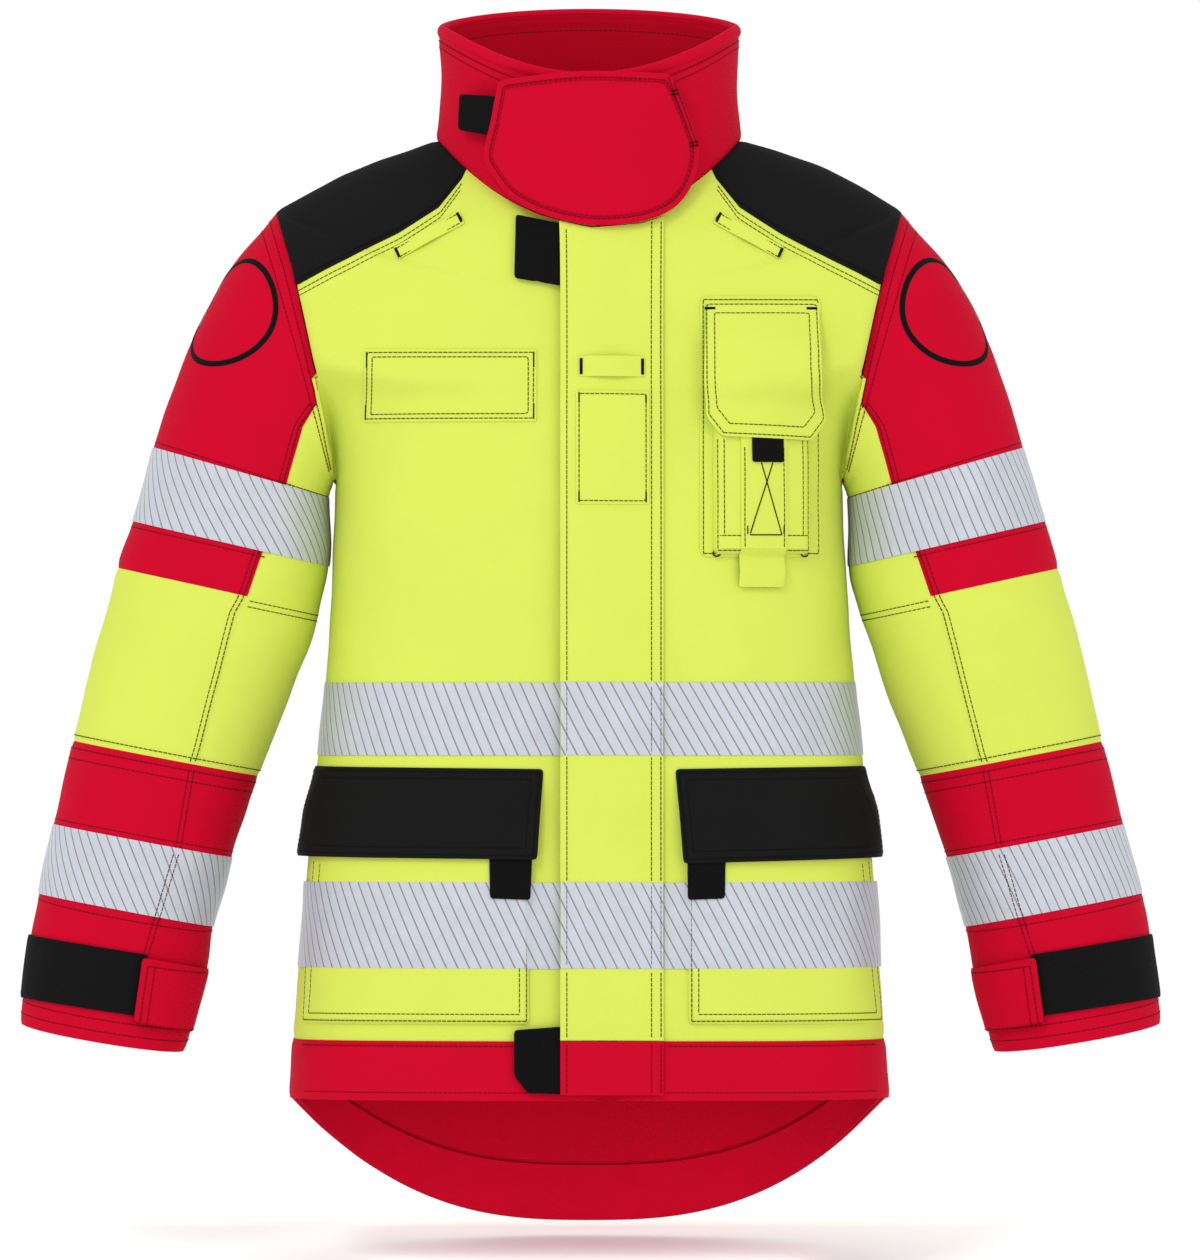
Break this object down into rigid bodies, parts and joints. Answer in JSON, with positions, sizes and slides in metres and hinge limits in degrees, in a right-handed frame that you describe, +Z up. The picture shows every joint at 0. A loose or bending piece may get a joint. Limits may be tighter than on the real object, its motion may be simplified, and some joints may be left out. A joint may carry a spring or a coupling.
{
  "type": "turnout coat",
  "caption": "Firefighter's turnout coat: stand collar with a throat flap, storm flap over a zip, cargo and radio pockets, reflective bands and a drop tail.",
  "frame": {"origin": "middle of the hang loop's webbing, inside the back of the neck, where a peg carries the coat", "axes": "+Z up along the hanging coat, +X to the wearer's left, +Y towards the back"},
  "size_m": [0.8902, 0.2794, 0.948],
  "materials": {
    "hi_vis_twill": "fluorescent yellow woven aramid twill",
    "red_twill": "red woven aramid twill",
    "red_lining": "red woven lining",
    "black_twill": "black coated twill",
    "hook_loop": "black webbing and hook-and-loop pile",
    "reflective_tape": "silver segmented retroreflective film",
    "zip_chain": "black moulded zip chain on woven tape",
    "zip_metal": "satin zip slider metal"
  },
  "bodies": {
    "coat": {"back_panel": "hi_vis_twill", "front_panel_right": "hi_vis_twill", "front_panel_left": "hi_vis_twill", "shoulder_yoke_right": "black_twill", "shoulder_yoke_left": "black_twill", "hem_band_right": "red_twill", "hem_band_left": "red_twill", "tail_panel": "red_twill", "tail_facing": "red_lining", "body_lining": "red_lining", "collar_shell": "red_twill", "collar_lining": "red_lining", "hang_loop": "black_twill", "zip_tape_right": "zip_chain", "zip_tape_left": "zip_chain", "tape_chest_right": "reflective_tape", "tape_chest_left": "reflective_tape", "tape_chest_back": "reflective_tape", "tape_hip_right": "reflective_tape", "tape_hip_left": "reflective_tape", "tape_hip_back": "reflective_tape", "name_panel": "hi_vis_twill", "shoulder_loop_right": "hi_vis_twill", "shoulder_loop_left": "hi_vis_twill", "pocket_right": "hi_vis_twill", "pocket_left": "hi_vis_twill", "radio_backing": "hi_vis_twill", "radio_pocket": "hi_vis_twill", "radio_strap": "hi_vis_twill"},
    "storm_flap": {"storm_flap": "hi_vis_twill", "storm_tab_top": "hook_loop", "storm_tab_bottom": "hook_loop", "mic_loop": "hi_vis_twill", "badge_panel": "hi_vis_twill"},
    "throat_flap": {"throat_flap": "red_twill", "throat_tab": "hook_loop"},
    "pocket_flap_right": {"pocket_flap_right": "black_twill", "pocket_tab_right": "hook_loop"},
    "pocket_flap_left": {"pocket_flap_left": "black_twill", "pocket_tab_left": "hook_loop"},
    "radio_flap": {"radio_flap": "hi_vis_twill", "radio_tab": "hook_loop"},
    "zip_slider": {"zip_slider": "zip_metal"},
    "zip_pull": {"zip_pull": "zip_metal"},
    "sleeve_right": {"sleeve_cap_right": "red_twill", "sleeve_under_right": "hi_vis_twill", "sleeve_forearm_right": "hi_vis_twill", "sleeve_wrist_right": "red_twill", "cuff_patch_right": "hook_loop", "tape_arm_right": "reflective_tape", "tape_wrist_right": "reflective_tape"},
    "sleeve_left": {"sleeve_cap_left": "red_twill", "sleeve_under_left": "hi_vis_twill", "sleeve_forearm_left": "hi_vis_twill", "sleeve_wrist_left": "red_twill", "cuff_patch_left": "hook_loop", "tape_arm_left": "reflective_tape", "tape_wrist_left": "reflective_tape"},
    "cuff_tab_right": {"cuff_tab_right": "red_twill"},
    "cuff_tab_left": {"cuff_tab_left": "red_twill"}
  },
  "joints": [
    {"name": "storm_flap_hinge", "type": "hinge", "parent": "coat", "child": "storm_flap", "pos_m": [0.0554, -0.19222, -0.44916], "axis": [0, 0.0587, 0.9983], "range_deg": [0, 95]},
    {"name": "throat_flap_hinge", "type": "hinge", "parent": "coat", "child": "throat_flap", "pos_m": [0.07725, -0.1522, -0.023], "axis": [-0.3682, -0.2496, 0.8956], "range_deg": [0, 110]},
    {"name": "pocket_flap_right_hinge", "type": "hinge", "parent": "coat", "child": "pocket_flap_right", "pos_m": [-0.14746, -0.17874, -0.527], "axis": [-0.9301, 0.3673, 0], "range_deg": [0, 120]},
    {"name": "pocket_flap_left_hinge", "type": "hinge", "parent": "coat", "child": "pocket_flap_left", "pos_m": [0.15917, -0.17369, -0.527], "axis": [-0.9015, -0.4327, 0], "range_deg": [0, 120]},
    {"name": "radio_flap_hinge", "type": "hinge", "parent": "coat", "child": "radio_flap", "pos_m": [0.13963, -0.17885, -0.166], "axis": [-0.9962, -0.0869, 0], "range_deg": [0, 110]},
    {"name": "zip_slide", "type": "slide", "parent": "coat", "child": "zip_slider", "axis": [0, -0.0587, -0.9983], "range_m": [0, 0.6]},
    {"name": "zip_pull_hinge", "type": "hinge", "parent": "zip_slider", "child": "zip_pull", "pos_m": [0.014, -0.17086, -0.13887], "axis": [-1, 0, 0], "range_deg": [0, 4]},
    {"name": "sleeve_right_swing", "type": "hinge", "parent": "coat", "child": "sleeve_right", "pos_m": [-0.245, -0.0667, -0.094], "axis": [0, 1, 0], "range_deg": [0, 30]},
    {"name": "sleeve_left_swing", "type": "hinge", "parent": "coat", "child": "sleeve_left", "pos_m": [0.245, -0.0667, -0.094], "axis": [0, -1, 0], "range_deg": [0, 30]},
    {"name": "cuff_tab_right_hinge", "type": "hinge", "parent": "sleeve_right", "child": "cuff_tab_right", "pos_m": [-0.3, -0.0667, -0.713], "axis": [0.2577, 0, 0.9662], "range_deg": [0, 70]},
    {"name": "cuff_tab_left_hinge", "type": "hinge", "parent": "sleeve_left", "child": "cuff_tab_left", "pos_m": [0.3, -0.0667, -0.713], "axis": [0.2577, 0, -0.9662], "range_deg": [0, 70]}
  ]
}
